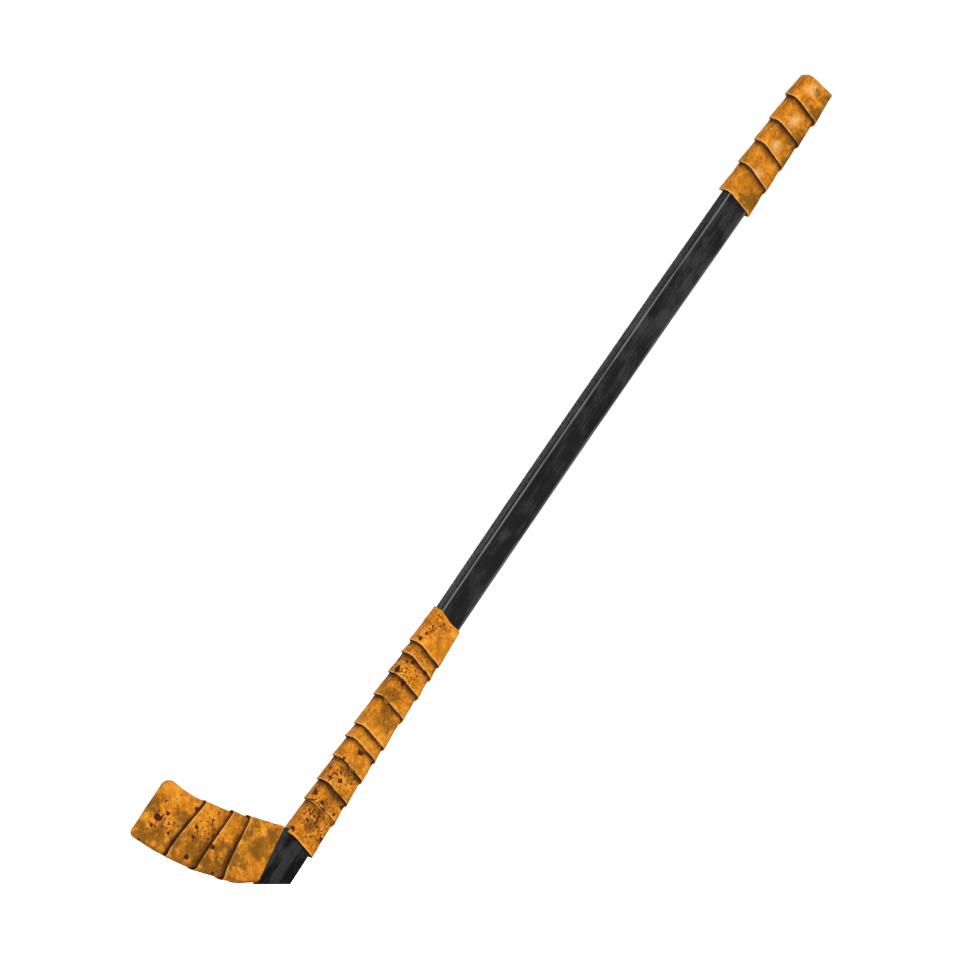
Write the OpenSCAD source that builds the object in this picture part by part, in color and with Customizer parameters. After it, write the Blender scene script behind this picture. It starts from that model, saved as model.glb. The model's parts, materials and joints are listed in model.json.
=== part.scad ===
// Ice hockey stick: a glued wooden shaft and blade, with cloth tape wound on the grip,
// on the lower shaft and on the blade.
// +Z is up from the ice and the origin is where the shaft's centreline meets the ice.
// The toe points to -X, the shaft leans to +X, and the forehand face looks to -Y.
// The shaft's narrow faces are its toe edge, above the blade, and its heel edge, behind it.

/* [Shaft] */
// Length of the shaft along its centreline, from the ice to the butt
shaft_length = 1036; // [700:1:1500]
// Width of the shaft's broad faces
shaft_width = 30; // [24:0.5:36]
// Thickness of the shaft between its broad faces
shaft_thickness = 19; // [15:0.1:24]
// Rounding of the shaft's four long edges
edge_radius = 3.5; // [1:0.1:5]
// Angle between the shaft and the ice at the heel
lie_angle = 52.8; // [46:0.1:60]
// How far the middle of the shaft stands forward of a straight line from heel to butt
shaft_bow = 5; // [1:0.1:15]
// Rounding of the heel's corner at the ice
heel_radius = 3; // [1:0.1:6]

/* [Shaft layers] */
// Thickness of the centre ply, and of the tongue that takes its place in the heel
centre_ply = 6.2; // [4:0.1:7.5]
// Thickness of each outer veneer
veneer = 1.4; // [0.8:0.1:2]
// Distance of the tongue's shoulders from the ice, along the shaft
tongue_length = 120; // [80:1:170]
// Length of the tongue's point above its shoulders
tongue_point = 40; // [10:1:60]
// Width of each of the tongue's shoulders
tongue_shoulder = 3; // [1:0.5:6]
// Width of the bevel where each side of the shaft runs down to the blade
bevel_width = 11; // [4:0.5:13]

/* [Blade] */
// Length of the blade's lower edge in front of the shaft's centreline, without tape
blade_length = 166; // [130:1:260]
// Length of the blade's slanting toe end between its rounded corners
toe_height = 60; // [45:1:72]
// Thickness of the blade beside the shaft
blade_heel_thickness = 9.6; // [8:0.1:12]
// Thickness of the blade at the toe
blade_toe_thickness = 6; // [4.5:0.1:7.5]
// How far the toe curves towards the forehand side
blade_curve = 14; // [6:0.5:30]
// Thickness of the fibreglass skin on each face
blade_skin = 0.8; // [0.4:0.1:1.4]
// Height of the wooden blade's lower edge above the ice, beside the heel
sole_lift = 3.4; // [3.4:0.1:6]
// Length of the lower edge's straight stretch in front of the centreline
sole_flat = 17; // [5:1:40]
// Radius of the lower edge where it starts to rise
heel_rocker_r = 188; // [120:1:300]
// Angle at which the lower edge turns into its longer curve
heel_rocker_angle = 16; // [8:1:20]
// Radius of the lower edge towards the toe
toe_rocker_r = 468; // [300:1:800]
// Angle between the toe end and the ice
toe_slant = 49.5; // [40:0.5:75]
// Rounding of the toe's lower corner
toe_low_r = 3; // [1:0.5:8]
// Rounding of the toe's upper corner
toe_top_r = 6; // [2:0.5:14]
// Slope of the top edge behind the toe's upper corner
crest_angle = 35; // [25:1:40]
// Length of the top edge's straight stretch behind that corner
crest_length = 7; // [2:0.5:20]
// Radius of the hollow in the top edge
hollow_r = 112; // [80:1:200]
// Slope at which the hollow runs out into the long top curve
hollow_slope = 19; // [15:1:24]
// Radius of the long curve of the top edge
top_r = 702; // [500:1:1200]

/* [Grip tape] */
// Distance of the grip tape's lower end from the ice, along the shaft
grip_start = 886; // [500:1:1400]
// Distance between the turns of the grip tape
grip_pitch = 31; // [20:0.5:45]
// Thickness of the grip tape
grip_tape_thickness = 2.4; // [1:0.1:4]
// Length of the flat turns that build up the knob under the grip tape
knob_length = 24; // [10:1:60]
// Thickness of the knob's flat turns
knob_thickness = 1.2; // [0.5:0.1:6]
// How far the wood of the butt stands out of the tape
butt_proud = 0.6; // [0.2:0.1:3]

/* [Shaft tape and blade tape] */
// Distance of the shaft tape's lower end from the ice, along the shaft
wrap_start = 51; // [45:1:90]
// Length of the shaft tape
wrap_length = 289; // [120:1:500]
// Distance between the turns of the shaft tape
wrap_pitch = 29; // [20:0.5:45]
// Thickness of the shaft tape
wrap_thickness = 2.6; // [1:0.1:4]
// Lean of the turns' edges, from square to the shaft
tape_lean = 8; // [0:0.5:15]
// Thickness of the blade tape
blade_tape_thickness = 2.4; // [1:0.1:2.4]
// Distance between the turns of the blade tape
blade_tape_pitch = 37; // [20:0.5:45]
// Angle between the blade tape's edges and the ice
blade_tape_angle = 59; // [54:0.5:70]
// Gap at the ice between the shaft and the blade tape
blade_tape_gap = 0.5; // [0.2:0.1:10]
// How much further out the overlapping edge of each turn stands
tape_lip = 0.8; // [0.3:0.1:0.9]
// Width of that overlapping edge
lip_width = 12; // [4:0.5:18]

/* [Hidden] */
far = 400;
tape_clearance = 0.3;
bevel_clearance = 1;
wedge_drop = 40;
arc_steps = 14;
section_fn = 48;
sweep_fn = 3600;
plan_fn = 1440;
// The shaft's centreline is an arc about a point far behind its heel edge.
bow_r = shaft_length * shaft_length / (8 * shaft_bow);
bow_centre = [bow_r * sin(lie_angle), 0, -bow_r * cos(lie_angle)];
heel_corner = shaft_width / 2 / sin(lie_angle);
cheek_face = shaft_thickness / 2 - veneer;
ply_face = centre_ply / 2;
taped_end = shaft_length - butt_proud;
// The blade's two faces are arcs in plan that start square to the shaft's centreline.
half_taper = (blade_heel_thickness - blade_toe_thickness) / 2;
forehand_r = arc_radius(blade_length, blade_curve - half_taper);
backhand_r = arc_radius(blade_length, blade_curve + half_taper);
forehand_centre = [0, -blade_heel_thickness / 2 - forehand_r];
backhand_centre = [0, blade_heel_thickness / 2 - backhand_r];

function arc_radius(reach, depth) = (reach * reach + depth * depth) / (2 * depth);
function turn_at(along) = along / bow_r * 180 / PI;
function dir(a) = [cos(a), sin(a)];
function arc(centre, r, from, to) =
    [for (i = [0 : arc_steps]) centre + r * dir(from + (to - from) * i / arc_steps)];

// ---- The shaft's frame: x runs up the centreline and z points to the toe edge ----

module at_shaft(along) {
    translate(bow_centre)
        rotate([0, turn_at(along) - lie_angle, 0])
            translate([0, 0, bow_r])
                children();
}

// Sweeps a section up the bowed centreline. The section's x points to the toe edge.
module sweep(from, to) {
    translate(bow_centre)
        rotate([90, 0, 0])
            rotate([0, 0, 90 + lie_angle - turn_at(to)])
                rotate_extrude(angle = turn_at(to - from), $fn = sweep_fn)
                    translate([bow_r, 0])
                        children();
}

// The shaft's section with rounded edges, moved outwards by grow.
module section(grow) {
    inner = [shaft_width - 2 * edge_radius, shaft_thickness - 2 * edge_radius];
    r = edge_radius + grow;
    square([inner[0], inner[1] + 2 * r], center = true);
    square([inner[0] + 2 * r, inner[1]], center = true);
    for (x = [-1, 1], y = [-1, 1])
        translate([x * inner[0], y * inner[1]] / 2)
            circle(r, $fn = section_fn);
}

module bar(from, to, grow = 0) {
    sweep(from, to)
        section(grow);
}

// The slice of the bare shaft between two planes. Forehand is the negative side.
module slice(from_y, to_y, from = -shaft_width) {
    intersection() {
        bar(from, shaft_length);
        translate([-far, from_y, -far])
            cube([far + 2 * shaft_length, to_y - from_y, far + 2 * shaft_length]);
    }
}

// Everything below the ice and behind the heel edge, with an arc round the heel's corner.
module outside_heel() {
    reach = heel_radius / tan((180 - lie_angle) / 2);
    corner = [heel_corner, 0];
    rotate([90, 0, 0])
        linear_extrude(far, center = true)
            polygon(concat(
                [[-far, -far], [-far, 0]],
                arc(corner + [-reach, heel_radius], heel_radius, -90, lie_angle - 90),
                [corner + [wedge_drop, -wedge_drop], [far, -far]]
            ));
}

// Planes that run down from the shaft's broad faces to the blade's, beside the toe edge.
module bevels() {
    edge = shaft_width / 2;
    low = blade_heel_thickness / 2;
    drop = shaft_thickness / 2 - low;
    for (side = [-1, 1])
        sweep(-shaft_width, wrap_start - bevel_clearance)
            polygon([
                [edge - 2 * bevel_width, side * (low + 2 * drop)],
                [edge + bevel_width, side * (low - drop)],
                [edge + bevel_width, side * (low + 2 * drop)]
            ]);
}

// The tongue's point between its shoulders, drawn on to below them.
module tongue_tip() {
    side = shaft_width / 2 - tongue_shoulder;
    at_shaft(tongue_length)
        rotate([90, 0, 0])
            linear_extrude(shaft_thickness, center = true)
                polygon([[-tongue_point, -2 * side], [tongue_point, 0], [-tongue_point, 2 * side]]);
}

// The space that the tongue takes up in the shaft: its point and all below its shoulders.
module tongue_space() {
    tongue_tip();
    at_shaft(tongue_length)
        translate([-far, -shaft_thickness / 2, -shaft_width])
            cube([far, shaft_thickness, 2 * shaft_width]);
}

// One layer of the shaft's side, cut level with the ice and bevelled towards the blade.
module side_layer(from_y, to_y) {
    difference() {
        slice(from_y, to_y);
        outside_heel();
        bevels();
    }
}

// ---- The blade: a side outline cut out of a slab that curves in plan ----

// The blade's side outline, moved outwards by grow, so that its arcs keep their centres.
module blade_outline(grow) {
    a1 = heel_rocker_angle;
    run = blade_length - sole_flat - heel_rocker_r * sin(a1);
    a2 = asin(sin(a1) + run / toe_rocker_r);
    heel_centre = [-sole_flat, sole_lift + heel_rocker_r];
    toe_centre = heel_centre + (heel_rocker_r - toe_rocker_r) * dir(-90 - a1);
    low = toe_centre + (toe_rocker_r - toe_low_r) * dir(-90 - a2);
    top = low + (toe_low_r - toe_top_r) * dir(toe_slant + 90) + toe_height * dir(toe_slant);
    crest = top + toe_top_r * dir(90 - crest_angle) + crest_length * dir(-crest_angle);
    hollow_centre = crest + hollow_r * dir(90 - crest_angle);
    top_centre = hollow_centre + (top_r - hollow_r) * dir(90 - hollow_slope);
    root_slope = asin((top_centre[0] - heel_corner - shaft_width) / top_r);
    polygon(concat(
        [[heel_corner, sole_lift - grow]],
        arc(heel_centre, heel_rocker_r + grow, -90, -90 - a1),
        arc(toe_centre, toe_rocker_r + grow, -90 - a1, -90 - a2),
        arc(low, toe_low_r + grow, 270 - a2, toe_slant + 90),
        arc(top, toe_top_r + grow, toe_slant + 90, 90 - crest_angle),
        arc(hollow_centre, hollow_r - grow, 270 - crest_angle, 270 - hollow_slope),
        arc(top_centre, top_r - grow, 270 - hollow_slope, 270 - root_slope)
    ));
}

module blade_side(grow) {
    rotate([90, 0, 0])
        linear_extrude(far, center = true)
            blade_outline(grow);
}

// The blade's whole body, moved outwards at its faces by face_grow and at its edges by grow.
module blade_body(face_grow, grow) {
    intersection() {
        blade_side(grow);
        translate([0, 0, -far / 2])
            linear_extrude(far)
                difference() {
                    translate(backhand_centre)
                        circle(backhand_r + face_grow, $fn = plan_fn);
                    translate(forehand_centre)
                        circle(forehand_r - face_grow, $fn = plan_fn);
                }
    }
}

// A sheet of the blade between two arcs in plan about the same point, cut off where it
// meets the shaft's toe edge.
module blade_sheet(centre, inner_r) {
    intersection() {
        blade_side(0);
        translate([0, 0, -far / 2])
            linear_extrude(far)
                translate(centre)
                    difference() {
                        circle(inner_r + blade_skin, $fn = plan_fn);
                        circle(inner_r, $fn = plan_fn);
                    }
        at_shaft(shaft_width)
            translate([-far, -far / 2, shaft_width / 2])
                cube(2 * far);
    }
}

// ---- The tapes: sleeves with a raised lip along the overlapping edge of each turn ----

// The space between two planes that lean like the tape's edges.
module leaning_slab(along, length) {
    at_shaft(along)
        rotate([0, tape_lean, -tape_lean])
            translate([0, -far / 2, -far / 2])
                cube([length, far, far]);
}

// A lip at the start of every turn between two distances from the ice.
module lips(from, to, pitch, grow) {
    for (along = [from : pitch : to - lip_width])
        intersection() {
            bar(along - shaft_width, along + lip_width + shaft_width, grow + tape_lip);
            leaning_slab(along, lip_width);
        }
}

// Part of the taped blade between two planes that lean like the shaft.
module blade_band(from, width, grow) {
    intersection() {
        blade_body(grow, grow);
        translate([-heel_corner - blade_tape_gap, 0, 0])
            rotate([0, -blade_tape_angle, 0])
                translate([-far, -far / 2, from])
                    cube([2 * far, far, width]);
    }
}

// ---- The pieces ----

module shaft_centre_ply() {
    color("#d9bf94")
        difference() {
            slice(-ply_face, ply_face, tongue_length);
            tongue_tip();
        }
}

module forehand_cheek() {
    color("#cfae7c")
        side_layer(-cheek_face, -ply_face);
}

module backhand_cheek() {
    color("#cfae7c")
        side_layer(ply_face, cheek_face);
}

module forehand_veneer() {
    color("#2b2c2e")
        side_layer(-shaft_thickness, -cheek_face);
}

module backhand_veneer() {
    color("#2b2c2e")
        side_layer(cheek_face, shaft_thickness);
}

// The blade's wood and its tongue are one piece, which the cheeks hold on both sides.
module blade_core() {
    color("#b9976a")
        difference() {
            union() {
                blade_body(-blade_skin, 0);
                intersection() {
                    slice(-ply_face, ply_face);
                    tongue_space();
                }
            }
            slice(-shaft_thickness, -ply_face);
            slice(ply_face, shaft_thickness);
            outside_heel();
        }
}

module blade_forehand_skin() {
    color("#2b2c2e")
        blade_sheet(forehand_centre, forehand_r);
}

module blade_backhand_skin() {
    color("#2b2c2e")
        blade_sheet(backhand_centre, backhand_r - blade_skin);
}

module knob_tape() {
    color("#c47a1c")
        difference() {
            bar(taped_end - knob_length, taped_end, knob_thickness);
            bar(0, shaft_length);
        }
}

module grip_tape() {
    knob_start = taped_end - knob_length;
    color("#dd8d25")
        difference() {
            union() {
                intersection() {
                    bar(grip_start - shaft_width, taped_end, grip_tape_thickness);
                    leaning_slab(grip_start, far);
                }
                lips(grip_start, knob_start, grip_pitch, grip_tape_thickness);
                bar(knob_start, taped_end, grip_tape_thickness + knob_thickness);
            }
            bar(0, shaft_length);
            bar(knob_start, shaft_length, knob_thickness);
        }
}

module shaft_tape() {
    clear = blade_tape_thickness + tape_lip + tape_clearance;
    wrap_end = wrap_start + wrap_length;
    color("#dd8d25")
        difference() {
            union() {
                difference() {
                    bar(wrap_start, wrap_end + shaft_width, wrap_thickness);
                    leaning_slab(wrap_end, far);
                }
                lips(wrap_start + wrap_pitch, wrap_end, wrap_pitch, wrap_thickness);
            }
            bar(0, shaft_length);
            blade_body(clear, clear);
        }
}

module blade_tape() {
    color("#d5861f")
        difference() {
            union() {
                blade_band(0, far, blade_tape_thickness);
                for (from = [0 : blade_tape_pitch : 3 * blade_tape_pitch])
                    blade_band(from, lip_width, blade_tape_thickness + tape_lip);
            }
            blade_body(0, 0);
        }
}

shaft_centre_ply();
forehand_cheek();
backhand_cheek();
forehand_veneer();
backhand_veneer();
blade_core();
blade_forehand_skin();
blade_backhand_skin();
knob_tape();
grip_tape();
shaft_tape();
blade_tape();
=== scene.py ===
# %% [markdown]
# # A taped wooden hockey stick
# The stick is a bowed wooden shaft with a thin curved blade glued into its lower end. Both
# are sprayed black, and cotton cloth tape is wound round the grip, the lower shaft and the
# blade. The wooden parts come ready made from the frame, so this lesson gives them their
# lacquer and then winds the tape as real strips, turn over turn.

# %% Load the frame
import json
import math
import random

import bpy
import numpy as np
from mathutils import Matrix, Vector, noise


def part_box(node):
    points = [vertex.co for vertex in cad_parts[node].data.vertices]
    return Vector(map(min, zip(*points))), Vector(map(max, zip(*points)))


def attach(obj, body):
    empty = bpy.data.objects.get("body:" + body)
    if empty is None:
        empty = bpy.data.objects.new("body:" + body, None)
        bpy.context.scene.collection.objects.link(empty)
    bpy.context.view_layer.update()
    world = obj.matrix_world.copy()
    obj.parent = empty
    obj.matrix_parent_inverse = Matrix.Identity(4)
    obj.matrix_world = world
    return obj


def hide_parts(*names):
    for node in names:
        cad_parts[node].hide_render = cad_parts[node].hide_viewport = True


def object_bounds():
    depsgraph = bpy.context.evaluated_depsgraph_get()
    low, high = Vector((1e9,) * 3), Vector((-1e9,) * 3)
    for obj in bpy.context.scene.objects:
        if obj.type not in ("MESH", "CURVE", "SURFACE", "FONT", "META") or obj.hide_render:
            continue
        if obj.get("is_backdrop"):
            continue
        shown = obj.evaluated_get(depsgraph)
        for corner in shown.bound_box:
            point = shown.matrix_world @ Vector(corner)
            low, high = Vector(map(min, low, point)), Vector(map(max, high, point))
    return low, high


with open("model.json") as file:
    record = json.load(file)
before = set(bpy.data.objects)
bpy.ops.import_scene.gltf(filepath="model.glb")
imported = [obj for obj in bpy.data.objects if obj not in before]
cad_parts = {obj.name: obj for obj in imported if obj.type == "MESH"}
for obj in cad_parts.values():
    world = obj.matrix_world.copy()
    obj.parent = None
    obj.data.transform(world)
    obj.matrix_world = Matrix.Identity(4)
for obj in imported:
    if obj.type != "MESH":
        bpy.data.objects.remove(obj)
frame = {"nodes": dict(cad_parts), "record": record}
cad_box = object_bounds()
mounts = {m["name"]: m for m in frame["record"]["mounts"]}
nodes = frame["nodes"]
MM = 0.001
print("frame loaded:", sorted(nodes))

# %% [markdown]
# ## The shaft's own coordinates
# The shaft isn't quite straight: it bows forward like a shallow arc. An arc is fixed by its
# chord and by its direction at one end, and the frame's two end mounts give both. Every
# point on the shaft can then be written as a distance up the centreline, a distance across
# the broad face towards the toe edge, and a depth. Only the radius of the rounded edges has
# to be given here, because no mount or box tells it.

# %% Work out the bow
butt = Vector(mounts["butt_end"]["pos_m"])
half_turn = butt.angle(Vector(mounts["butt_end"]["axis"]))
BOW_R = butt.length / (2 * math.sin(half_turn))
SHAFT_LENGTH = 2 * BOW_R * half_turn
LIE = math.atan2(butt.z, butt.x) + half_turn
BOW_CENTRE = (BOW_R * math.sin(LIE), -BOW_R * math.cos(LIE))


def on_shaft(along, across, depth):
    turn = LIE - along / BOW_R
    x = BOW_CENTRE[0] - (BOW_R + across) * np.sin(turn)
    z = BOW_CENTRE[1] + (BOW_R + across) * np.cos(turn)
    return np.stack(np.broadcast_arrays(x, depth, z), axis=-1)


ply = np.array([v.co for v in nodes["shaft_centre_ply"].data.vertices])
radii = np.hypot(ply[:, 0] - BOW_CENTRE[0], ply[:, 2] - BOW_CENTRE[1])
HALF_WIDTH = float(np.abs(radii - BOW_R).max())
HALF_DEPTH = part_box("backhand_veneer")[1].y
EDGE_R = 3.5 * MM
print(f"shaft {SHAFT_LENGTH:.4f} m long, lie {math.degrees(LIE):.2f} deg, bow radius {BOW_R:.2f} m")
print(f"section {2 * HALF_WIDTH / MM:.2f} by {2 * HALF_DEPTH / MM:.2f} mm")

# %% [markdown]
# ## Going once round the shaft
# Tape follows the shaft's section, a rectangle with rounded edges. The fraction of the way
# round starts at the edge between the heel side and the forehand face, passes the forehand
# face and the toe edge, and is halfway at the edge between the toe side and the back. Each
# place is the centre of a rounded edge plus a direction, so any thickness of tape can be
# added outwards along that direction. The share of each stretch is measured under the usual
# cover of tape, so turns don't slow down at the edges.

# %% Describe the shaft's section
USUAL_COVER = 2 * MM
flat_across, flat_depth = HALF_WIDTH - EDGE_R, HALF_DEPTH - EDGE_R
corner = (EDGE_R + USUAL_COVER) * math.pi / 2
section_steps = np.array([
    0, corner / 2, 2 * flat_across, corner, 2 * flat_depth, corner,
    2 * flat_across, corner, 2 * flat_depth, corner / 2,
])
section_at = np.cumsum(section_steps)
GIRTH = float(section_at[-1])
section_at = section_at / GIRTH
section_across = flat_across * np.array([-1, -1, 1, 1, 1, 1, -1, -1, -1, -1])
section_depth = flat_depth * np.array([-1, -1, -1, -1, 1, 1, 1, 1, -1, -1])
section_angle = np.radians([225, 270, 270, 360, 360, 450, 450, 540, 540, 585])


def round_shaft(turns, along, height):
    part = np.mod(turns, 1)
    angle = np.interp(part, section_at, section_angle)
    across = np.interp(part, section_at, section_across)
    depth = np.interp(part, section_at, section_depth)
    out = EDGE_R + height
    return on_shaft(along, across + out * np.cos(angle), depth + out * np.sin(angle))


print(f"once round the taped shaft is {GIRTH / MM:.1f} mm")

# %% [markdown]
# ## The blade's own coordinates
# The blade is wider than it is thick and curves in plan, so tape on it runs along the lower
# edge, up one face, over the top edge and down the other face. The side outline is read from
# the frame's skin. Its lower and upper edges are then walked in step, from the end of the
# tape near the heel to the toe, and a straight line between them is one place where tape
# crosses the face. The outline's corners are sorted by their direction from a spot well inside
# the blade, and its longest straight stretch is the toe's end.

# %% Read the blade's outline from its skin
INSIDE_BLADE = (0.62, 0.45)
skin = nodes["blade_forehand_skin"].data
rim = set()
for face in skin.polygons:
    if abs(face.normal.y) < 0.5:
        rim.update(face.vertices)
outline = {(round(skin.vertices[i].co.x, 5), round(skin.vertices[i].co.z, 5)) for i in rim}
low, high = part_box("blade_forehand_skin")
middle = np.array([INSIDE_BLADE[0] * low.x, INSIDE_BLADE[1] * high.z])
outline = np.array(sorted(outline, key=lambda p: math.atan2(p[1] - middle[1], p[0] - middle[0])))
steps = np.linalg.norm(np.roll(outline, -1, axis=0) - outline, axis=1)
steps[outline[:, 0] > low.x / 2] = 0
toe_at = int(np.argmax(steps))
outline = np.roll(outline, -toe_at - 1, axis=0)
print(f"blade outline: {len(outline)} points, toe end {steps[toe_at] / MM:.1f} mm long")


# %% [markdown]
# ## The lower and the upper edge
# The tape stops short of the heel, further forward below than above, and runs round both of
# the toe's corners. Each corner gets its own even share of points, so it stays crisp while
# the long edges are spaced freely.

# %% Split the outline into its lower and upper edge
TAPE_HEEL_LOW, TAPE_HEEL_TOP = -18.6 * MM, 12.8 * MM
CORNER_LOW, CORNER_TOP = 6 * MM, 9.5 * MM
BODY_POINTS, CORNER_POINTS = 380, 40
FINE_POINTS = 6000


def evenly(points, count):
    """The same line drawn with count evenly spaced points, and its length."""
    gaps = np.linalg.norm(np.diff(points, axis=0), axis=1)
    at = np.concatenate([[0], np.cumsum(gaps)])
    want = np.linspace(0, at[-1], count)
    return np.stack([np.interp(want, at, points[:, i]) for i in (0, 1)], axis=1), at[-1]


def edge_line(points, heel_x, corner):
    """Points from the heel's end to the toe, with a fixed share of them in the toe's corner."""
    fine = evenly(points, FINE_POINTS)[0]
    fine = fine[: int(np.argmax(fine[:, 0] >= heel_x))]
    gaps = np.linalg.norm(np.diff(fine, axis=0), axis=1)
    from_toe = np.concatenate([[0], np.cumsum(gaps)])
    tip = evenly(fine[from_toe <= corner][::-1], CORNER_POINTS)[0]
    body, run = evenly(fine[from_toe > corner][::-1], BODY_POINTS)
    return np.concatenate([body, tip]), run


def outward(line, side):
    """The direction away from the wood at each point of an edge."""
    slope = np.gradient(line, axis=0)
    normal = side * np.stack([-slope[:, 1], slope[:, 0]], axis=1)
    return normal / np.linalg.norm(normal, axis=1, keepdims=True)


LOW_EDGE, low_run = edge_line(outline, TAPE_HEEL_LOW, CORNER_LOW)
TOP_EDGE, top_run = edge_line(outline[::-1], TAPE_HEEL_TOP, CORNER_TOP)
LOW_OUT, TOP_OUT = outward(LOW_EDGE, 1), outward(TOP_EDGE, -1)
SHARES = np.linspace(0, 1, len(LOW_EDGE))
BLADE_RUN = (low_run + top_run) / 2 * len(LOW_EDGE) / BODY_POINTS
print(f"taped edges run {low_run / MM:.0f} mm below and {top_run / MM:.0f} mm above")

# %% [markdown]
# ## The blade's faces
# Each face is part of a wide cylinder, so the blade hooks forward towards its toe. The two
# skins' boxes tell how far each face stands out at the heel and at the toe. The long edges
# and the toe are eased over a few millimetres, as a rasp and glasspaper leave them.

# %% Describe the blade's two faces
SKIN = 0.8 * MM
EDGE_ROUND = 3.6 * MM
forehand_low, forehand_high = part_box("blade_forehand_skin")
backhand_low, backhand_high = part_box("blade_backhand_skin")
toe_line = TOP_EDGE[-1] - LOW_EDGE[-1]
TOE_OUT = np.array([-toe_line[1], toe_line[0]]) / np.linalg.norm(toe_line)


def curved_face(x, at_heel, at_toe):
    """How far a face stands from the stick's middle plane, x along the blade."""
    drop = at_heel - at_toe
    radius = (forehand_low.x ** 2 + drop ** 2) / (2 * drop)
    return at_heel - radius + np.sqrt(radius ** 2 - x ** 2)


def eased(depth_in):
    """From 0 at an edge to 1 well inside it, on a quarter of a circle."""
    return np.sqrt(np.clip(1 - (1 - np.clip(depth_in / EDGE_ROUND, 0, 1)) ** 2, 0, 1))


def round_blade(turns, along, height):
    """A point on the taped blade: half a turn climbs the forehand face, half comes down."""
    part = np.mod(turns, 1)
    climb = np.where(part < 0.5, 2 * part, 2 - 2 * part)
    up = (1 - np.cos(math.pi * climb)) / 2
    share = np.clip(along / BLADE_RUN, 0, 1)
    ends = []
    for line, out in ((LOW_EDGE, LOW_OUT), (TOP_EDGE, TOP_OUT)):
        ends.append([np.interp(share, SHARES, line[:, i]) + height * np.interp(share, SHARES, out[:, i])
                     for i in (0, 1)])
    x, z = (low * (1 - up) + top * up for low, top in zip(*ends))
    face_length = np.hypot(ends[1][0] - ends[0][0], ends[1][1] - ends[0][1])
    to_toe = height - (x - LOW_EDGE[-1, 0]) * TOE_OUT[0] - (z - LOW_EDGE[-1, 1]) * TOE_OUT[1]
    swell = eased(np.minimum(up, 1 - up) * face_length) * eased(to_toe)
    front = curved_face(x, forehand_high.y - SKIN, forehand_low.y)
    back = curved_face(x, backhand_high.y, backhand_low.y + SKIN)
    half = ((back - front) / 2 + height) * swell
    return np.stack([x, (front + back) / 2 + np.where(part < 0.5, -half, half), z], axis=-1)


# %% [markdown]
# ## Meshes that remember their cloth
# A piece of tape needs more than its shape: where each point lies on the flat strip, for the
# weave, and how darkened, grimed or splashed it is there and where shade or a highlight is
# painted on it, for the finish. Smooth noise keeps the hand-wound cloth from looking
# machined, and it is the same on each run.

# %% Make meshes with marks
STEP = 1.2 * MM
CLOTH = 0.9 * MM
CREEP = 0.12 * MM
ACROSS = 34


def ripple(a, b, c):
    """Smooth noise between about -1 and 1 at three numbers, the same on each run."""
    a, b, c = np.broadcast_arrays(a, b, c)
    flat = [noise.noise(Vector(p)) for p in zip(a.ravel(), b.ravel(), c.ravel())]
    return np.array(flat).reshape(a.shape)


def make_mesh(name, points, faces, coords, marks):
    """coords are the cloth's own flat coordinates, and marks the numbers its finish reads."""
    mesh = bpy.data.meshes.new(name)
    mesh.from_pydata(points.tolist(), [], faces)
    mesh.polygons.foreach_set("use_smooth", [True] * len(mesh.polygons))
    layer = mesh.uv_layers.new(name="cloth")
    corners = np.empty(len(mesh.loops), dtype=int)
    mesh.loops.foreach_get("vertex_index", corners)
    layer.data.foreach_set("uv", coords[corners].ravel())
    for key, values in marks.items():
        mesh.attributes.new(key, "FLOAT", "POINT").data.foreach_set("value", values.ravel())
    mesh.validate()
    piece = bpy.data.objects.new(name, mesh)
    bpy.context.scene.collection.objects.link(piece)
    return piece


# %% [markdown]
# ## A strip of tape
# Each turn of tape laps over the turn before it, so one edge of every turn shows and stands
# a little proud, and the other is buried under the next turn. The strip is one long band
# that spirals round the wood. Its height above the wood falls from the edge that shows
# towards the next turn, and then dips under it. It is built as a closed band with rounded
# edges, so that light catches the edge and the gap below it goes dark. Hands never wind it
# evenly, so smooth noise lifts and creases it by a few tenths of a millimetre.

# %% Join the points of a band
def band_faces(index, sense):
    """Faces of a closed band, whose rows go along it and whose columns go once round its section."""
    columns = index.shape[1]
    beside = np.roll(index, -1, axis=1)
    quads = np.stack([index[:-1], beside[:-1], beside[1:], index[1:]], axis=-1).reshape(-1, 4)
    if sense < 0:
        quads = quads[:, ::-1]
    faces = quads.tolist()
    top = np.arange(ACROSS)
    bottom = 2 * ACROSS + 1 - top
    for row, flip in ((0, False), (len(index) - 1, True)):
        ends = [[bottom[j], bottom[j + 1], top[j + 1], top[j]] for j in range(ACROSS - 1)]
        ends.append([top[-1], bottom[-1], ACROSS + 1, ACROSS])
        ends.append([bottom[0], top[0], columns - 1, columns - 2])
        for face in ends:
            face = [int(index[row, j]) for j in face]
            faces.append(face[::-1] if flip != (sense < 0) else face)
    return faces


# %% [markdown]
# The winding itself takes the two places that matter, the edge that shows and the start of
# the next turn, and works out everything between them: the fall of the cloth, the part that
# is buried, the puffs and creases, a darkening just before the next turn, and a painted shade
# in the gap right under that turn's edge.

# %% Wind a strip
TRACE_POINTS = 2000
LEAST_COVER = 6 * MM
FALL_POWER = 0.85
EDGE_WAVER, FRAY = 0.35 * MM, 0.35 * MM
PUFF, CREASE, LOOSE_EDGE = 0.4, 0.22, 0.5 * MM
# How far the darkening before the next turn, the painted shade in the gap under its edge and the
# painted highlight along the edge that shows reach.
LAP_DARK_REACH, PAINTED_SHADE_REACH, EDGE_HIGHLIGHT_REACH = 4.5 * MM, 5.4 * MM, 1.3 * MM


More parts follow.
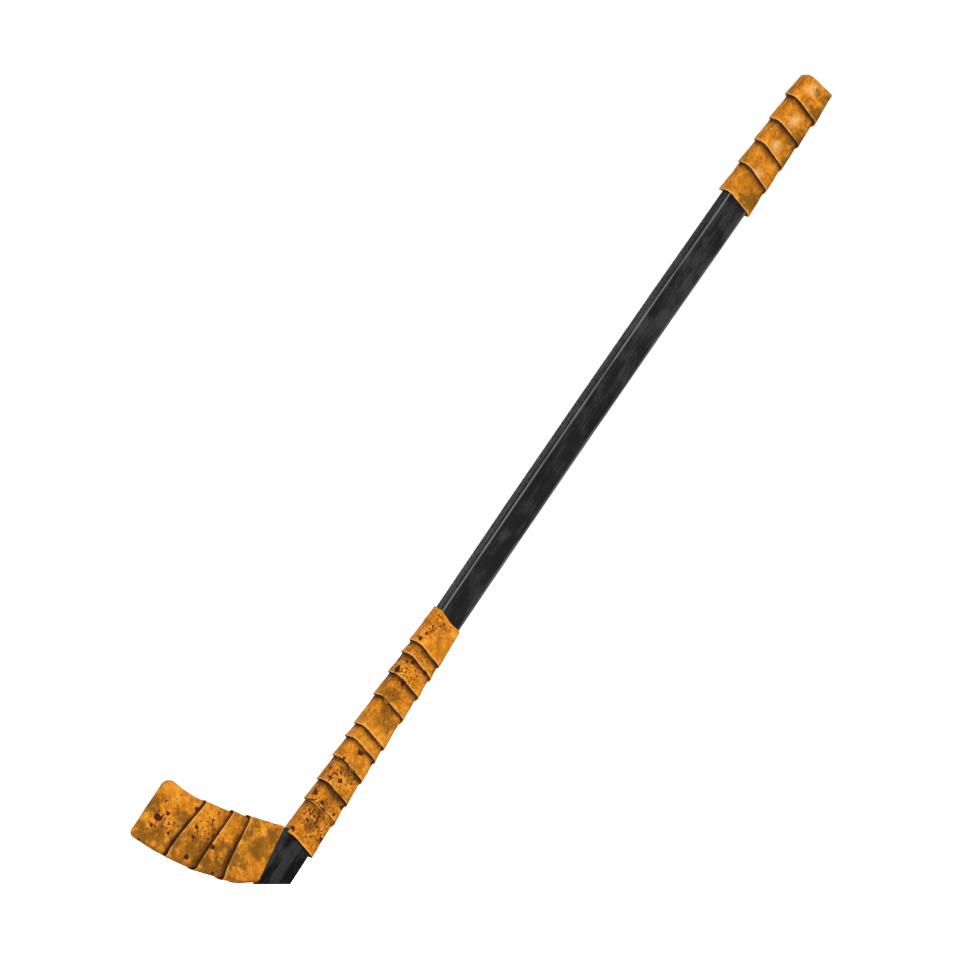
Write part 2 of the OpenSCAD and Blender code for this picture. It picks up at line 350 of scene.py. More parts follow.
def strip(name, place, first, last, edge, width, lip, low, seed, sense=1):
    """Winds one strip. edge, width and lip are functions of the number of turns: where the edge
    that shows lies along the wood, how wide the tape is and how high that edge stands. low is
    the height just before the next turn, and sense is -1 where the edge faces the other way."""
    trace = np.linspace(first, last, TRACE_POINTS)
    rough = place(trace, edge(trace), lip(trace))
    length = np.linalg.norm(np.diff(rough, axis=0), axis=1).sum()
    count = int(length / STEP)
    turns = np.linspace(first, last, count)[:, None]
    wide = width(turns)
    across = np.concatenate([[0.004], np.linspace(0.012, 0.988, ACROSS - 2), [0.996]])
    w_share = np.concatenate([across, [1, 1], across[::-1], [0, 0]])
    sink = np.concatenate([np.zeros(ACROSS), [0.33, 0.67], np.ones(ACROSS), [0.67, 0.33]])
    w = w_share[None, :] * wide

    def lip_at(t):
        return lip(t) + EDGE_WAVER * ripple(t * 1.7, seed, 0.0)

    def lap(t):
        return np.where(t + 1 <= last, np.abs(edge(np.minimum(t + 1, last)) - edge(t)), wide)

    cover = np.maximum(lap(turns), LEAST_COVER)
    fall = np.clip(w / cover, 0, 1) ** FALL_POWER
    high = lip_at(turns)
    height = high - (high - low) * fall
    lapped = turns + 1 <= last
    buried = np.where(lapped, w - cover, -1.0)
    above = lip_at(turns + 1)
    under = above - (above - low) * np.clip(buried / cover, 0, 1) ** FALL_POWER - CLOTH - CREEP
    height = np.where(buried > 0, np.minimum(height, under), height)
    length_at = (turns - first) / (last - first) * length
    puffs = ripple(length_at / (14 * MM), w / (9 * MM), seed + 3.1)
    creases = ripple(length_at / (5 * MM), w / (17 * MM), seed + 7.7)
    loose = np.clip(ripple(turns * 2.3, seed + 5.0, 0.0) + 0.1, 0, 1)
    shown = np.clip((cover - w) / (3 * MM), 0, 1)
    height = height + shown * (PUFF * puffs + CREASE * creases) * MM
    height = height + loose * LOOSE_EDGE * np.exp(-w / (2.5 * MM))
    fray = FRAY * ripple(length_at / (2.2 * MM), seed + 1.0, w_share[None, :].round())
    along = edge(turns) + sense * w + fray
    points = place(turns, along, height - sink[None, :] * CLOTH)
    faces = band_faces(np.arange(points.shape[0] * points.shape[1]).reshape(points.shape[:2]), sense)
    coords = np.stack(np.broadcast_arrays(length_at, w), axis=-1).reshape(-1, 2)
    before_next = np.clip(cover - w, 0, 1)
    # A darkening towards the next turn, and a painted shade in the gap right under its edge.
    lap_dark = np.exp(-before_next / LAP_DARK_REACH) * lapped
    deep = PAINTED_SHADE_REACH * (1 + 0.7 * ripple(turns * 2.9, seed + 9.0, 0.0))
    gap = np.exp(-((before_next / deep) ** 2)) * lapped
    # A painted highlight along the edge that shows.
    edge_highlight = np.exp(-((w / EDGE_HIGHLIGHT_REACH) ** 2)) + 0 * turns
    marks = {"lap_dark": lap_dark, "gap": gap, "edge_highlight": edge_highlight}
    flat = points.reshape(-1, 3)
    marks.update(stains(flat))
    piece = make_mesh(name, flat, faces, coords, marks)
    print(f"{name}: {length:.3f} m of tape, {float(wide.mean()) / MM:.0f} mm wide, {len(faces)} faces")
    return piece, length, float(wide.mean())


# %% [markdown]
# ## Splashes, grime, darker patches and painted highlights
# Dark drops hit the stick from one side, so they are laid out as seen from the viewer's place:
# each has a distance right of the stick's middle, a distance above it, and a radius, all in
# millimetres. Larger soft patches darken the tape: grime rubbed on the lower tape, and the
# heel side of the grip's turns. Pale painted highlights lie on the middle of the grip's top
# turns. All are stored on the points of the tape as a distance inwards from the spot's rim, so
# the material can draw a crisp or a soft rim of its own. Points behind the stick's middle plane
# get drops and grime thrown at random from a fixed seed. The blade's toe hooks forward past
# that plane, so there the drops of the front show on the back too, as the spattered spots and
# the painted highlights do everywhere.

# %% Lay out the stains
VIEWED_FROM = Vector((-0.5, -math.cos(math.radians(30)), 0))
MIDDLE = Vector((0.1835, -0.1060, 0.4096))
VIEW_DISTANCE = 40.0
DROPS = [
    (-326, -342, 4.6), (-316, -338, 2.8), (-333, -350, 2), (-316, -358, 2), (-346, -364, 2),
    (-287, -333, 2.5), (-287, -352, 2.5), (-291, -362, 2), (-297, -382, 2.5), (-264, -338, 2),
    (-271, -372, 3.1), (-271, -399, 2), (-307, -323, 1.3), (-318, -325, 1.2),
    (-42, -137, 1.5), (-45, -151, 1.3), (-54, -155, 2), (-61, -160, 2.7), (-69, -185, 2),
    (-84, -191, 4.1), (-56, -195, 2.7), (-78, -205, 3.6), (-121, -276, 4.1), (-138, -282, 2),
    (-108, -288, 2.4), (-142, -305, 2.7), (-152, -291, 1.8), (-147, -276, 1.5),
    (-164, -307, 3.1), (-167, -316, 4.1), (-160, -327, 2.3), (-148, -339, 2), (-140, -332, 2.7),
    (-173, -335, 1.6), (-190, -353, 3.1), (-161, -364, 3.7), (-172, -361, 1.8), (-166, -348, 2),
]
PATCHES = [
    # The first five patches darken the heel side of the grip's turns; the rest are grime on the lower
    # tape.
    (356, 386, 15), (341, 368, 15), (320, 342, 14), (309, 321, 9), (273, 283, 15),
    (-90, -220, 12), (-96, -239, 12), (-91, -249, 10), (-134, -297, 9), (-146, -321, 10),
    (-162, -338, 11), (-171, -349, 10), (-334, -359, 17), (-311, -367, 12),
    (-290, -375, 22), (-280, -384, 14), (-234, -359, 15), (-249, -386, 16), (-208, -364, 11),
    (-212, -384, 10), (-262, -372, 9), (-330, -330, 12), (-300, -345, 10), (-226, -372, 15),
    (-270, -392, 13), (-240, -348, 9),
]
SPATTERED = [
    (-166, -338, 46), (-150, -300, 34), (-75, -192, 30), (-45, -148, 18), (-318, -345, 22),
    (-275, -352, 20), (-84, -190, 20),
]
# Pale painted highlights on the middle of the grip's top turns.
PAINTED_GRIP_HIGHLIGHTS = [(337, 395, 9), (318, 364, 9), (300, 338, 9), (281, 311, 8)]

# %% [markdown]
# A fixed seed throws the stains behind the middle plane. Every point is then looked at along
# the line of sight, to see which spots it lies in.

# %% Throw the stains behind, and mark the points
RANDOM = random.Random(17)


def scattered(count, *ranges):
    return [tuple(RANDOM.uniform(low, high) for low, high in ranges) for _ in range(count)]


BEHIND = scattered(9, (-360, -210), (-400, -330), (6, 16))
BEHIND += [(-185 + 0.7 * up, -370 + up, RANDOM.uniform(5, 11)) for up in range(0, 240, 34)]
BEHIND_DROPS = scattered(150, (-360, -20), (-400, -130), (1.4, 4))


def inward(right, up, spots):
    """How far each point lies inside the nearest spot: 1 at its middle, 0 at its rim."""
    best = np.full(right.shape, -1.0)
    for across, above, radius in spots:
        gap = np.hypot(right - across * MM, up - above * MM) / (radius * MM)
        best = np.maximum(best, 1 - gap)
    return best


def stains(points):
    sight = np.array(VIEWED_FROM)
    sideways = np.array([-sight[1], sight[0], 0])
    from_middle = points - np.array(MIDDLE)
    zoom = VIEW_DISTANCE / (VIEW_DISTANCE - from_middle @ sight)
    right, up = (from_middle @ sideways) * zoom, from_middle[:, 2] * zoom
    facing = points[:, 1] < 0
    marks = {key: inward(right, up, spots) for key, spots in
             (("drop", DROPS), ("patch", PATCHES), ("spatter", SPATTERED), ("grip_highlight", PAINTED_GRIP_HIGHLIGHTS))}
    marks["drop"] = np.where(facing, marks["drop"], inward(right, up, BEHIND_DROPS))
    marks["patch"] = np.where(facing, marks["patch"], inward(right, up, BEHIND))
    return marks


print(f"{len(DROPS)} drops and {len(PATCHES)} patches of grime in front")
print(f"{len(BEHIND_DROPS)} drops and {len(BEHIND)} patches of grime behind")

# %% [markdown]
# ## The shaft tape and the grip tape
# Both strips climb the shaft from below. Hand-wound turns are never evenly spaced, so each
# is given by where its edge crosses the heel side and, half a turn later, the toe side, in
# millimetres up the centreline. The last turns are trimmed to end straight, the lower one
# just past its edge and the upper one at the butt.

# %% Wind the lower shaft and the grip
WRAP_HEEL = [50, 46.6, 91, 114, 143, 168.9, 185, 222, 250.3, 274.4, 290.1]
WRAP_TOE = [55, 54.5, 96.2, 121, 151, 175.4, 191.8, 229.2, 257.4, 283, 298.4]
GRIP_HEEL = [876.8, 876.8, 910, 939.6, 970.3, 1000]
GRIP_TOE = [884.6, 884.4, 920.6, 949.9, 977.7, 1009.3]
WRAP_WIDTH, GRIP_WIDTH = 41 * MM, 38 * MM


def turns_from(heel_side, toe_side):
    at = np.arange(2 * len(heel_side)) / 2
    where = np.array([x for pair in zip(heel_side, toe_side) for x in pair]) * MM
    return lambda t: np.interp(t, at, where)


wrap_edge = turns_from(WRAP_HEEL, WRAP_TOE)
wrap, wrap_length, wrap_width = strip(
    "lower_shaft_tape", round_shaft, 0.5, 10.8, wrap_edge,
    lambda t: WRAP_WIDTH + np.interp(t, [9.9, 10, 10.5], [0, -1.4, 3.8]) * MM,
    lambda t: 4.2 * MM + 0 * t, low=1.9 * MM, seed=11.0)
grip_edge = turns_from(GRIP_HEEL, GRIP_TOE)
GRIP_END = SHAFT_LENGTH - 0.6 * MM
grip, grip_length, grip_width = strip(
    "grip_tape_strip", round_shaft, 0.8, 5.95, grip_edge,
    lambda t: np.minimum(GRIP_WIDTH, GRIP_END - grip_edge(t)),
    lambda t: np.interp(t, [4.7, 5], [4.5, 5.6]) * MM, low=2.4 * MM, seed=23.0)


# %% [markdown]
# ## The layers below
# The tape is wound up and down more than once, and the lower layer closes every gap between
# the turns on top. It only shows at the ends, so it is a plain sleeve with rounded ends and
# a slightly uneven surface.

# %% Pad below the strips
PAD_TURN_POINTS = 140
END_ROUND = 1.2 * MM


def sleeve(name, place, start, end, height, seed):
    rows = int(round(abs(end - start) / STEP)) + 1
    turns = np.linspace(0, 1, PAD_TURN_POINTS, endpoint=False)[None, :]
    along = np.linspace(start, end, rows)[:, None]
    trim = eased(np.minimum(along - start, end - along) / END_ROUND * EDGE_ROUND)
    top = height * (0.25 + 0.75 * trim) + 0.1 * MM * ripple(along * 90, turns * 9, seed)
    outer = place(turns, along + 0 * turns, top)
    inner = place(turns, along + 0 * turns, -0.05 * MM + 0 * top)
    grid = np.concatenate([outer, inner[::-1]])
    rows, columns = grid.shape[:2]
    index = np.arange(rows * columns).reshape(rows, columns)
    below, beside = np.roll(index, -1, axis=0), np.roll(index, -1, axis=1)
    quads = np.stack([index, beside, np.roll(below, -1, axis=1), below], axis=-1).reshape(-1, 4)
    flat = grid.reshape(-1, 3)
    coords = np.stack(np.broadcast_arrays(np.concatenate([along, along[::-1]]), turns * GIRTH), axis=-1)
    none = np.zeros(len(flat))
    marks = {"lap_dark": none, "gap": none, "edge_highlight": none, **stains(flat)}
    return make_mesh(name, flat, quads[:, ::-1].tolist(), coords.reshape(-1, 2), marks)


wrap_pad = sleeve("lower_shaft_tape_under", round_shaft, 51.6 * MM, 334 * MM, 1.9 * MM, 31.0)
grip_pad = sleeve("grip_tape_under", round_shaft, 893 * MM, GRIP_END - 0.4 * MM, 2.0 * MM, 37.0)

# %% [markdown]
# ## The blade tape
# The blade is taped from toe to heel, so the edges that show look towards the toe. Each
# turn is given by where its edge crosses the blade's lower and its top edge, in millimetres
# from the heel. A closed cover of tape wraps the toe itself and runs back under the strips,
# where it is kept thin so that it doesn't push through them.

# %% Wind the blade
BLADE_LOW = [-127.3, -92, -58, -45]
BLADE_TOP = [-82, -48.5, -29, -20]


def blade_at(edge, x):
    towards_toe = edge[:, 0][: BODY_POINTS]
    return float(np.interp(-x * MM, -towards_toe, SHARES[: BODY_POINTS])) * BLADE_RUN


blade_lines = np.array([
    spot for low_x, top_x in zip(BLADE_LOW, BLADE_TOP)
    for spot in (blade_at(LOW_EDGE, low_x), blade_at(TOP_EDGE, top_x))
])


def blade_edge(t):
    return np.interp(t, np.arange(len(blade_lines)) / 2, blade_lines)


blade, blade_length, blade_width = strip(
    "blade_tape_strip", round_blade, 0.0, 3.0, blade_edge,
    lambda t: np.where(t >= 2, blade_edge(t), np.minimum(43 * MM, blade_edge(t))),
    lambda t: 3.9 * MM + 0 * t, low=1.7 * MM, seed=41.0, sense=-1)


# %% [markdown]
# The cover's ends are closed by joining the forehand side to the backhand side straight
# across the thin blade, so it is a solid shell of cloth with the wood inside.

# %% Cover the toe
UNDER = 0.9 * MM
RISE_OVER = 7 * MM
TOE_TURN_POINTS = 180


def toe_cover(name, height, seed):
    """A closed cover, thin under the strips and rising to its full height past their last edge."""
    rows = int(BLADE_RUN / STEP)
    shares = np.concatenate([np.linspace(0.004, 0.9, rows), np.linspace(0.905, 1, 16)])
    turns = np.linspace(0, 1, TOE_TURN_POINTS, endpoint=False)[None, :]
    along = (shares * BLADE_RUN)[:, None]
    beyond = along - blade_edge(turns)
    rise = np.clip(beyond / RISE_OVER + 0.15, 0, 1)
    top = UNDER + (height - UNDER) * rise * rise * (3 - 2 * rise)
    top = top + 0.3 * MM * rise * ripple(along * 60, np.sin(turns * 2 * math.pi) * 2, seed)
    grid = round_blade(turns, along + 0 * turns, top)
    rows, columns = grid.shape[:2]
    index = np.arange(rows * columns).reshape(rows, columns)
    beside = np.roll(index, -1, axis=1)
    quads = np.stack([index[:-1], beside[:-1], beside[1:], index[1:]], axis=-1).reshape(-1, 4)
    faces = quads[:, ::-1].tolist()
    half = columns // 2
    for row, flip in ((0, True), (rows - 1, False)):
        for j in range(half):
            a, b = index[row, j], index[row, j + 1]
            c, d = index[row, (columns - j - 1) % columns], index[row, (columns - j) % columns]
            face = [int(v) for v in dict.fromkeys((a, b, c, d))]
            if len(face) > 2:
                faces.append(face[::-1] if flip else face)
    flat = grid.reshape(-1, 3)
    coords = np.stack(np.broadcast_arrays(along, turns * 0.15), axis=-1).reshape(-1, 2)
    before = np.clip(beyond, 0, 1).reshape(-1)
    # A painted shade in the gap under the strips' last edge, and a darkening towards it.
    gap = np.exp(-((before / (4.6 * MM)) ** 2))
    lap_dark = np.exp(-before / (6 * MM))
    marks = {"lap_dark": lap_dark, "gap": gap, "edge_highlight": 0 * gap, **stains(flat)}
    return make_mesh(name, flat, faces, coords, marks)


toe = toe_cover("toe_tape", 3.0 * MM, 53.0)

# %% [markdown]
# ## Colours and a helper for materials
# Colours are written as they look on a screen and turned to the linear values that a
# renderer works in. One function adds a node, sets it up and joins its inputs, and the short
# ones below it name the few kinds of step that every finish here is made of.


# %% Make the helpers
def linear(code):
    """A screen colour such as #9C5C0C as linear red, green, blue and full alpha."""
    channels = [int(code[i:i + 2], 16) / 255 for i in (1, 3, 5)]
    bright = (c / 12.92 if c <= 0.04045 else ((c + 0.055) / 1.055) ** 2.4 for c in channels)
    return (*bright, 1.0)


def add(tree, kind, inputs=(), stops=None, **settings):
    """Adds a node. inputs maps a socket's name or number to a value or another node's output."""
    made = tree.nodes.new(f"ShaderNode{kind}")
    for key, value in settings.items():
        setattr(made, key, value)
    for key, value in dict(inputs).items():
        if isinstance(value, bpy.types.NodeSocket):
            tree.links.new(value, made.inputs[key])
        else:
            made.inputs[key].default_value = value
    if stops:
        ramp = made.color_ramp.elements
        while len(ramp) < len(stops):
            ramp.new(0.5)
        for element, (position, code) in zip(ramp, stops):
            element.position, element.color = position, linear(code)
    return made


def new_material(name):
    material = bpy.data.materials.new(name)
    material.use_nodes = True
    tree = material.node_tree
    tree.nodes.clear()
    shader = add(tree, "BsdfPrincipled")
    add(tree, "OutputMaterial", {"Surface": shader.outputs[0]})
    return material, tree, shader


def blend_colours(tree, share, first, second):
    return add(tree, "Mix", {0: share, 6: first, 7: second}, data_type="RGBA").outputs[2]


def maths(tree, operation, *values):
    return add(tree, "Math", dict(enumerate(values)), operation=operation).outputs[0]


def remap(tree, value, low, high, to_low=0.0, to_high=1.0):
    """Turns the range low to high into to_low to to_high, and holds it there past both ends."""
    return add(tree, "MapRange", {0: value, 1: low, 2: high, 3: to_low, 4: to_high}).outputs[0]


def cloud(tree, where, scale, detail, roughness=0.5):
    """Soft noise, with scale patches or so to the metre."""
    wanted = {"Vector": where, "Scale": scale, "Detail": detail, "Roughness": roughness}
    return add(tree, "TexNoise", wanted).outputs[0]


def mark(tree, name):
    """A number stored on the points of a piece."""
    return add(tree, "Attribute", attribute_name=name).outputs["Fac"]


# %% [markdown]
# ## Dyed cotton with painted highlights
# Friction tape is plain-woven cotton with a rubbery glue rubbed into it, and the dye takes
# unevenly: broad cloudy patches, brown flecks where the glue comes through, pale flecks where
# the nap is rubbed, and short streaks along the strip where it was dragged tight. A pale
# painted highlight runs along the edge that shows, and pale painted highlights lie on the
# middle of the grip's top turns.

# %% Dye the cotton and paint its highlights
DYE = [(0.32, "#9C5C0C"), (0.5, "#C07514"), (0.68, "#D08722")]
GLUE_BROWN, RUBBED_NAP, DRAGGED = "#8A4C08", "#DC9A42", "#8C5410"
# The last two colours are painted highlights: along the edge that shows, and on the middle of the
# grip's top turns.
PAINTED_EDGE_HIGHLIGHT, GRIP_HIGHLIGHT_PEACH = "#DDA252", "#EDB878"
STREAKS = (420, 70, 1)


def dyed_and_highlit_cotton(tree, solid, cloth, flecks):
    patchy = cloud(tree, solid, 55.0, 3.0, 0.6)
    dye = add(tree, "ValToRGB", {0: patchy}, stops=DYE).outputs[0]
    stretched = add(tree, "Mapping", {0: cloth, 3: STREAKS}).outputs[0]
    drag = cloud(tree, stretched, 1.0, 3.0)
    # Pale painted highlights on the grip's top turns, broken up by the cloudy dye.
    highlight_spots = maths(tree, "MULTIPLY", mark(tree, "grip_highlight"), patchy)
    colour = dye
    for share, code in (
        (remap(tree, flecks, 0.52, 0.7, 0, 0.85), GLUE_BROWN),
        (remap(tree, flecks, 0.47, 0.3, 0, 0.75), RUBBED_NAP),
        (remap(tree, drag, 0.52, 0.75, 0, 0.6), DRAGGED),
        # A painted highlight along the edge that shows.
        (maths(tree, "MULTIPLY", mark(tree, "edge_highlight"), 0.75), PAINTED_EDGE_HIGHLIGHT),
        # The painted highlight on the grip's top turns.
        (remap(tree, highlight_spots, 0.02, 0.6, 0, 0.75), GRIP_HIGHLIGHT_PEACH),
    ):
        colour = blend_colours(tree, share, colour, linear(code))
    return colour


# %% [markdown]
# ## Darkening in the laps, grime and painted shade
# The cloth is darkened just below each edge that shows, and in the soft patches laid out
# above: grime where the tape was dragged over the ice, and darker patches on the grip.
# Grainy noise breaks up the rims, and flecks of clean cotton show through. Right under an
# edge a painted shade makes it nearly black.

# %% Rub in the dirt, the darkening and the painted shade
DARK_BROWNS = [(0.38, "#291A04"), (0.6, "#6B470C")]
# The colour of the painted shade right under each edge that shows.
PAINTED_SHADE_BROWN = "#2A1303"


def grimed_and_shaded(tree, colour, solid, flecks):
    smear = cloud(tree, solid, 90.0, 5.0, 0.7)
    grainy = maths(tree, "MULTIPLY_ADD", smear, 5.0, -2.5)
    # Darker just below each edge that shows, broken up by grainy noise.
    lap_dark_grainy = maths(tree, "MULTIPLY_ADD", mark(tree, "lap_dark"), 1.3, grainy)
    rubbed = maths(tree, "ADD", mark(tree, "patch"), grainy)
    grime_and_lap_dark = maths(tree, "MAXIMUM", remap(tree, lap_dark_grainy, 0.55, 1.3, 0, 0.85),
                 remap(tree, rubbed, -0.15, 0.65, 0, 0.88))
    grime_and_lap_dark = maths(tree, "MULTIPLY", grime_and_lap_dark, remap(tree, flecks, 0.35, 0.62, 0.55, 1.0))
    dark_brown = add(tree, "ValToRGB", {0: flecks}, stops=DARK_BROWNS).outputs[0]
    colour = blend_colours(tree, grime_and_lap_dark, colour, dark_brown)
    # A painted shade, nearly black, right under each edge that shows.
    painted_gap_shade = maths(tree, "MULTIPLY", mark(tree, "gap"), 0.95)
    return blend_colours(tree, painted_gap_shade, colour, linear(PAINTED_SHADE_BROWN))


# %% [markdown]
# ## Dried drops
# A drop soaks into cotton along its threads, so its rim is ragged, and it dries darker in the
# middle. Around the larger drops lies a spray of tiny ones, cut from fine noise.

# %% Dry the drops
DRIED = [(0.2, "#6A2006"), (0.8, "#2C0402")]


def splashed(tree, colour, solid, flecks):
    """The splashed colour, and how much of a drop there is, from 0 to 1."""
    ragged = maths(tree, "MULTIPLY_ADD", flecks, 2.6, -1.35)
    soaked = maths(tree, "ADD", mark(tree, "drop"), ragged)
    tiny = cloud(tree, solid, 380.0, 2.0, 0.5)
    spray = maths(tree, "MULTIPLY_ADD", mark(tree, "spatter"), 0.14, tiny)
    wet = maths(tree, "MAXIMUM", remap(tree, soaked, 0.0, 0.45), remap(tree, spray, 0.67, 0.73, 0, 0.8))
    dried = add(tree, "ValToRGB", {0: wet}, stops=DRIED).outputs[0]
    return blend_colours(tree, remap(tree, wet, 0, 0.5, 0, 0.95), colour, dried), wet


# %% [markdown]
# ## Cotton cloth tape
# The cloth is dull, as rubbed-in glue leaves it, and only a dried drop shines a little. Real
# threads are about 0.4 mm apart, too fine to see from here, so they are drawn 1.3 mm apart.
# The weave follows the strip's own flat coordinates, so it turns with the tape.

# %% Make the tape
THREAD = 1.3 * MM


def make_tape():
    material, tree, shader = new_material("cotton_friction_tape")
    solid = add(tree, "TexCoord").outputs["Object"]
    cloth = add(tree, "UVMap", uv_map="cloth").outputs[0]
    flecks = cloud(tree, solid, 210.0, 4.0, 0.65)
    colour = dyed_and_highlit_cotton(tree, solid, cloth, flecks)
    colour = grimed_and_shaded(tree, colour, solid, flecks)
    colour, wet = splashed(tree, colour, solid, flecks)
    tree.links.new(colour, shader.inputs["Base Color"])
    tree.links.new(remap(tree, wet, 0, 1, 0.88, 0.6), shader.inputs["Roughness"])
    shader.inputs["IOR"].default_value = 1.5
    shader.inputs["Specular IOR Level"].default_value = 0.12

    scaled = add(tree, "VectorMath", {0: cloth, 3: 2 * math.pi / THREAD}, operation="SCALE").outputs[0]
    threads = add(tree, "SeparateXYZ", {0: scaled})
    warp, weft = (maths(tree, "COSINE", threads.outputs[i]) for i in (0, 1))
    weave = maths(tree, "MULTIPLY", warp, weft)
    lumps = maths(tree, "MULTIPLY_ADD", flecks, 1.6, weave)
    bump = add(tree, "Bump", {"Height": lumps, "Strength": 0.5, "Distance": 0.25 * MM})
    tree.links.new(bump.outputs[0], shader.inputs["Normal"])
    return material


tape = make_tape()
print("made", tape.name)

# %% [markdown]
# ## Black lacquer on ash
# The shaft is sprayed with thin black nitrocellulose lacquer that sinks into the grain, so
# long streaks show through. It is scuffed paler in the upper half, where it rubs on gloves,
# and near the heel it has lost its gloss on the ice. The streaks run up the shaft, so the
# pattern is turned to lie along the chord of the bow.

# %% Colour the lacquer
HEEL_END, HEEL_FADE = 0.05, 0.12
GRAIN_SHARE = 0.6
CLOUDS = (28, 75, 75)


def lacquer_colour(tree, turned, up_stick, fine, colours):
    clouds = add(tree, "Mapping", {0: turned, 3: CLOUDS}).outputs[0]
    cloudy = cloud(tree, clouds, 1.0, 4.0, 0.65)
    shade = maths(tree, "MULTIPLY_ADD", fine, GRAIN_SHARE, cloudy)
    for low, high, at_low, at_high in (
        (0.655, 0.672, 0, 0.10), (0.70, 0.86, 0, -0.04), (HEEL_END, HEEL_FADE, 0.11, 0),
    ):
        shade = maths(tree, "ADD", shade, remap(tree, up_stick, low, high, at_low, at_high))
    return add(tree, "ValToRGB", {0: shade}, stops=colours).outputs[0]


# %% [markdown]
# ## Rubbed edges with a painted highlight
# The long rounded edges are the first place where lacquer wears through to a dull grey, and
# that grey also stands in for the highlight along them, so it is partly wear and partly a
# painted highlight. They are found by their direction: the broad faces look straight forwards
# or back, the narrow ones sideways, and only the rounding lies between the two.

# %% Wear the edges and paint their highlight
# A grey that is partly worn lacquer and partly a painted highlight along the rounded edges.
EDGE_WEAR_AND_HIGHLIGHT_GREY = "#5C5E60"


def worn_and_highlit_edge(tree, colour, up_stick, fine):
    normal = add(tree, "SeparateXYZ", {0: add(tree, "NewGeometry").outputs["Normal"]})
    forwards = maths(tree, "ABSOLUTE", normal.outputs[1])
    # Partly wear and partly a painted highlight, on the part of the rounding near the broad faces.
    edge = maths(tree, "MULTIPLY", remap(tree, forwards, 0.55, 0.8), remap(tree, forwards, 0.98, 0.9))
    edge = maths(tree, "MULTIPLY", edge, remap(tree, fine, 0.35, 0.6, 0.2, 0.95))
    edge = maths(tree, "MULTIPLY", edge, remap(tree, up_stick, 0.1, 0.12))
    return blend_colours(tree, edge, colour, linear(EDGE_WEAR_AND_HIGHLIGHT_GREY))


# %% [markdown]
# ## The two black finishes
# Ash gives long thin streaks and a satin gloss. Glass cloth set in resin has no grain, only
# small even blotches, and is scraped quite dull on the blade.

# %% Make the lacquer
HEEL_ROUGHER, HEEL_GLOSS = 0.35, 0.04


def make_lacquer(name, grain, colours, rough_range, gloss):
    """grain is how many streaks or blotches there are to the metre, along the shaft and across it."""
    material, tree, shader = new_material(name)
    place = add(tree, "TexCoord").outputs["Object"]
    chord = math.atan2(butt.z, butt.x)
    turned = add(tree, "Mapping", {0: place, 2: (0, chord, 0)}).outputs[0]
    up_stick = add(tree, "SeparateXYZ", {0: turned}).outputs[0]
    streaks = add(tree, "Mapping", {0: turned, 3: (grain[0], grain[1], grain[1])}).outputs[0]
    fine = cloud(tree, streaks, 1.0, 5.0, 0.7)
    colour = lacquer_colour(tree, turned, up_stick, fine, colours)
    tree.links.new(worn_and_highlit_edge(tree, colour, up_stick, fine), shader.inputs["Base Color"])

    rough = maths(tree, "ADD", remap(tree, fine, 0, 1, *rough_range),
                  remap(tree, up_stick, HEEL_END, HEEL_FADE, HEEL_ROUGHER, 0))
    tree.links.new(rough, shader.inputs["Roughness"])
    shader.inputs["IOR"].default_value = 1.5
    polish = remap(tree, up_stick, HEEL_END, HEEL_FADE, HEEL_GLOSS, gloss)
    tree.links.new(polish, shader.inputs["Specular IOR Level"])
    bump = add(tree, "Bump", {"Height": fine, "Strength": 0.35, "Distance": 0.2 * MM})
    tree.links.new(bump.outputs[0], shader.inputs["Normal"])
    return material


BLACKS = [(0.62, "#050506"), (0.82, "#0E0E0F"), (1.0, "#2A2A2B")]
CHARCOALS = [(0.5, "#0B0C0D"), (0.7, "#1A1B1D"), (0.95, "#303234")]
ON_ASH = make_lacquer("black_lacquer_on_ash", (16, 420), BLACKS, (0.4, 0.65), 0.2)
ON_GLASS = make_lacquer("black_lacquer_on_glass_cloth", (170, 170), CHARCOALS, (0.75, 0.95), 0.05)
WOOD = ("shaft_centre_ply", "forehand_cheek", "backhand_cheek", "forehand_veneer", "backhand_veneer")
GLASSED = ("blade_core", "blade_forehand_skin", "blade_backhand_skin")
for finish, keys in ((ON_ASH, WOOD), (ON_GLASS, GLASSED)):
    for key in keys:
        nodes[key].data.materials.clear()
        nodes[key].data.materials.append(finish)
    print(finish.name, "on", len(keys), "parts")

# %% [markdown]
# ## Hand the pieces over
# Each strip takes the cotton tape's finish, stands in for its plain solid and rides on the one
# body. The layers below are of the same tape.

for piece, stands_for in (
    (wrap, "shaft_tape"), (wrap_pad, "shaft_tape"), (grip, "grip_tape"), (grip_pad, "knob_tape"),
    (blade, "blade_tape"), (toe, "blade_tape"),
):
    piece.data.materials.append(tape)
    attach(piece, "root")
    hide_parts(stands_for)

# %% [markdown]
# ## Floor, light and camera
# The stick stands on its heel on white card under even studio light. The card and the sky
# are shown bright to the camera alone, so they come out white without washing out the black.

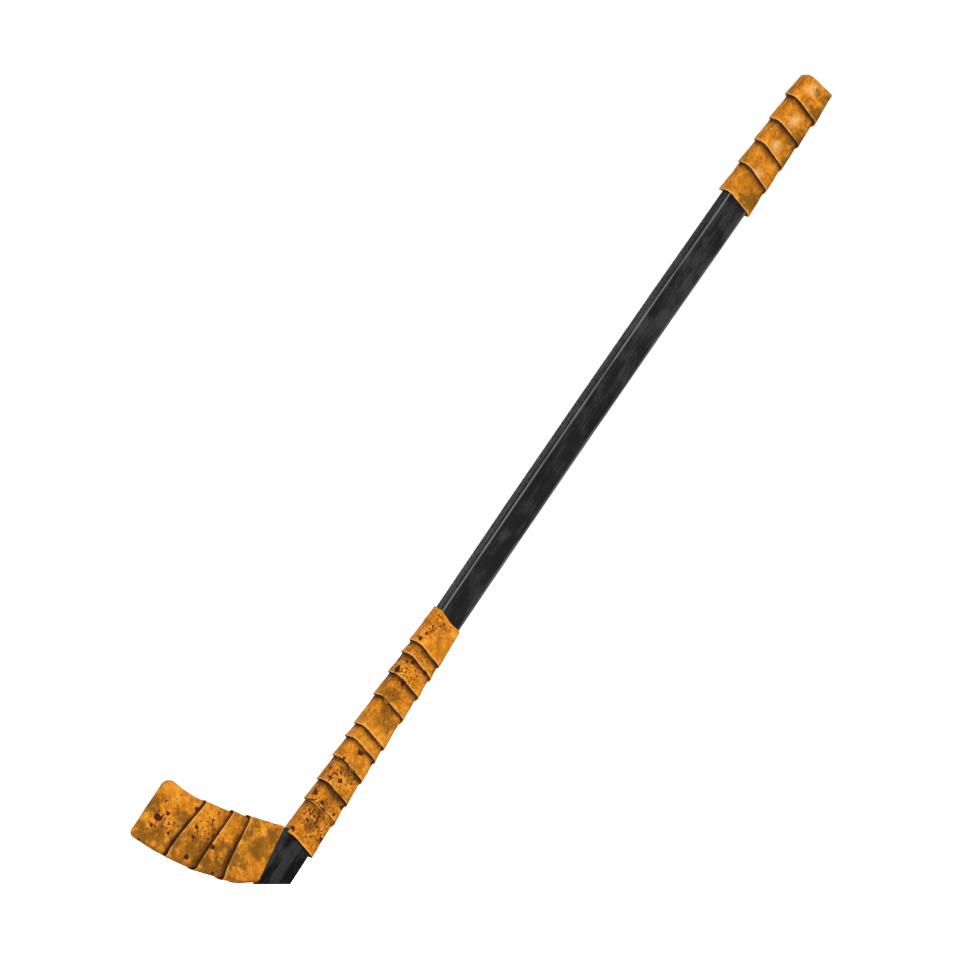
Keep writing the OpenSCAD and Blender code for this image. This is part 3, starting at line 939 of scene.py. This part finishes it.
# %% Lay the floor and the sky
FLOOR_R, FLOOR_DROP = 120, 0.2 * MM
CARD_GLOW = 0.95
SKY_LIGHT, SKY_SHOWN = 0.32, 1.05
bpy.ops.mesh.primitive_circle_add(
    vertices=96, radius=FLOOR_R, fill_type="NGON", location=(0, 0, -FLOOR_DROP))
floor = bpy.context.object
floor.name = "floor"
white, tree, shader = new_material("matt_white_card")
shader.inputs["Base Color"].default_value = (0.9, 0.9, 0.9, 1)
shader.inputs["Roughness"].default_value = 0.9
shader.inputs["Emission Color"].default_value = (1, 1, 1, 1)
direct = add(tree, "LightPath").outputs["Is Camera Ray"]
tree.links.new(remap(tree, direct, 0, 1, 0, CARD_GLOW), shader.inputs["Emission Strength"])
floor.data.materials.append(white)
floor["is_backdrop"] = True

world = bpy.data.worlds.new("studio")
bpy.context.scene.world = world
world.use_nodes = True
tree = world.node_tree
tree.nodes.clear()
seen = add(tree, "LightPath").outputs["Is Camera Ray"]
level = remap(tree, seen, 0, 1, SKY_LIGHT, SKY_SHOWN)
sky = add(tree, "Background", {"Color": (1, 1, 1, 1), "Strength": level})
add(tree, "OutputWorld", {"Surface": sky.outputs[0]})

# %% [markdown]
# One large soft lamp stands in front, high on the toe's side, and a weaker one behind keeps
# the back of the stick from going dull.

# %% Hang the lamps
LAMP_DISTANCE, LAMP_SIZE = 3.2, 1.5


def lamp(name, towards, power):
    light = bpy.data.lights.new(name, "AREA")
    light.shape, light.size, light.energy = "DISK", LAMP_SIZE, power
    holder = bpy.data.objects.new(name, light)
    bpy.context.scene.collection.objects.link(holder)
    away = Vector(towards).normalized()
    holder.location = MIDDLE + away * LAMP_DISTANCE
    holder.rotation_euler = away.to_track_quat("Z", "Y").to_euler()


lamp("softbox", (-0.46, -0.80, 0.42), 138)
lamp("back_fill", (0.20, 0.90, 0.10), 70)

# %% [markdown]
# The camera looks level from the toe's side. It stands far off with a long lens, as in
# catalogue shots, so the shaft hardly tapers with distance.

# %% Set up the camera
SENSOR, VIEW_WIDTH = 36, 0.9728
camera = bpy.data.objects.new("camera", bpy.data.cameras.new("camera"))
bpy.context.scene.collection.objects.link(camera)
bpy.context.scene.camera = camera
camera.location = MIDDLE + VIEWED_FROM * VIEW_DISTANCE
camera.rotation_euler = VIEWED_FROM.to_track_quat("Z", "Y").to_euler()
camera.data.sensor_width = SENSOR
camera.data.lens = SENSOR * VIEW_DISTANCE / VIEW_WIDTH
camera.data.clip_end = 10 * VIEW_DISTANCE
bpy.context.scene.view_settings.view_transform = "Standard"

# %% [markdown]
# ## Print the size
# The taped stick may stand only a little proud of the frame's box, so both boxes are printed.

# %% Print both sizes and finish
seen_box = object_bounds()
for label, pair in (("frame", cad_box), ("shown", seen_box)):
    print(label, [[round(v, 4) for v in c] for c in pair])
